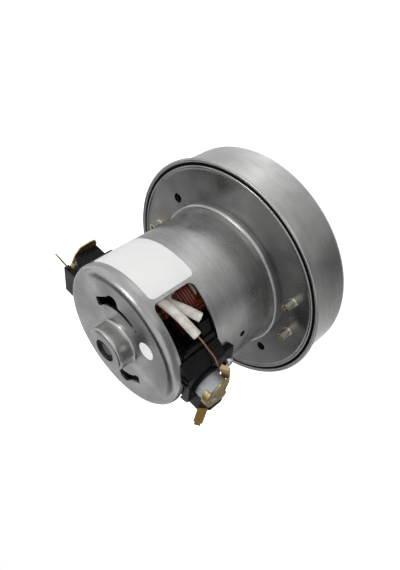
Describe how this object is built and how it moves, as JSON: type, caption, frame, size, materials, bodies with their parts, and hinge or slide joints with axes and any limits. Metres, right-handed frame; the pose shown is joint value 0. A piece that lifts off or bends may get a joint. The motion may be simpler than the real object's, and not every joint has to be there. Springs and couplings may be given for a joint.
{
  "type": "vacuum cleaner motor",
  "caption": "Single-stage vacuum cleaner motor: round drawn fan cover, deep-drawn frame with windows, brush holders, push-on terminals and a rear bearing seat.",
  "frame": {"origin": "centre of the fan cover's intake face", "axes": "+Z along the shaft from the intake to the rear bearing seat, +X through the brush on one side"},
  "size_m": [0.134, 0.134, 0.1113],
  "materials": {
    "zinc_sheet": "galvanised, satin",
    "frame_sheet": "zinc-plated, satin",
    "screw_steel": "zinc-plated",
    "bearing_steel": "ground, polished",
    "shaft_steel": "ground",
    "cage_brass": "pressed",
    "impeller_aluminium": "mill finish",
    "lamination": "oxidised sheet steel, varnished",
    "enamelled_wire": "dark red enamelled copper",
    "insulation": "board",
    "copper_bars": "turned copper",
    "moulding": "phenolic moulding",
    "black_plastic": "glass-filled, satin",
    "barrel_plastic": "light bluish grey",
    "brass_sheet": "stamped",
    "carbon": "graphite",
    "spring_steel": "drawn wire",
    "sleeving": "off-white woven sleeving",
    "copper_wire": "bright copper",
    "label_film": "white film, bare"
  },
  "bodies": {
    "frame": {"fan_cover": "zinc_sheet", "motor_frame": "frame_sheet", "fan_bracket": "zinc_sheet", "guide_vane_plate": "black_plastic", "bracket_screws": "screw_steel", "bracket_nuts": "screw_steel", "front_bearing_outer_race": "bearing_steel", "front_bearing_shields": "bearing_steel", "rear_bearing_outer_race": "bearing_steel", "rear_bearing_shields": "bearing_steel", "field_core": "lamination", "field_insulators": "insulation", "field_coil_a": "enamelled_wire", "field_coil_b": "enamelled_wire", "field_winding_a": "enamelled_wire", "field_winding_b": "enamelled_wire", "brush_holder_a": "black_plastic", "brush_holder_b": "black_plastic", "brush_barrel_a": "barrel_plastic", "brush_barrel_b": "barrel_plastic", "brush_tube_a": "brass_sheet", "brush_tube_b": "brass_sheet", "brush_spring_a": "spring_steel", "brush_spring_b": "spring_steel", "brush_cap_a": "brass_sheet", "brush_cap_b": "brass_sheet", "terminal_tab_a": "brass_sheet", "terminal_tab_b": "brass_sheet", "holder_screws": "screw_steel", "lead_sleeves": "sleeving", "lead_wires": "copper_wire", "rating_label": "label_film", "round_label": "label_film"},
    "rotor": {"shaft": "shaft_steel", "spacer_sleeve": "shaft_steel", "impeller_back_disc": "impeller_aluminium", "impeller_front_disc": "impeller_aluminium", "impeller_blades": "impeller_aluminium", "impeller_washers": "screw_steel", "impeller_nut": "screw_steel", "front_bearing_inner_race": "bearing_steel", "rear_bearing_inner_race": "bearing_steel", "armature_core": "lamination", "armature_winding": "enamelled_wire", "armature_end_discs": "moulding", "commutator_bars": "copper_bars", "commutator_hub": "moulding"},
    "front_cage": {"front_bearing_cage": "cage_brass", "front_bearing_balls": "bearing_steel"},
    "rear_cage": {"rear_bearing_cage": "cage_brass", "rear_bearing_balls": "bearing_steel"},
    "brush_a": {"carbon_brush_a": "carbon"},
    "brush_b": {"carbon_brush_b": "carbon"}
  },
  "joints": [
    {"name": "rotor_spin", "type": "hinge", "parent": "frame", "child": "rotor", "pos_m": [0, 0, 0.06], "axis": [0, 0, 1], "continuous": true},
    {"name": "front_cage_spin", "type": "hinge", "parent": "frame", "child": "front_cage", "pos_m": [0, 0, 0.0233], "axis": [0, 0, 1], "continuous": true},
    {"name": "rear_cage_spin", "type": "hinge", "parent": "frame", "child": "rear_cage", "pos_m": [0, 0, 0.1066], "axis": [0, 0, 1], "continuous": true},
    {"name": "brush_slide_a", "type": "slide", "parent": "frame", "child": "brush_a", "axis": [1, 0, 0], "range_m": [0, 0.004], "stiffness_N_per_m": 90, "springref_m": -0.02, "deforming": ["brush_spring_a"]},
    {"name": "brush_slide_b", "type": "slide", "parent": "frame", "child": "brush_b", "axis": [-1, 0, 0], "range_m": [0, 0.004], "stiffness_N_per_m": 90, "springref_m": -0.02, "deforming": ["brush_spring_b"]}
  ],
  "couplings": [
    {"joint": "front_cage_spin", "follows": "rotor_spin", "ratio": 0.37},
    {"joint": "rear_cage_spin", "follows": "rotor_spin", "ratio": 0.37}
  ]
}
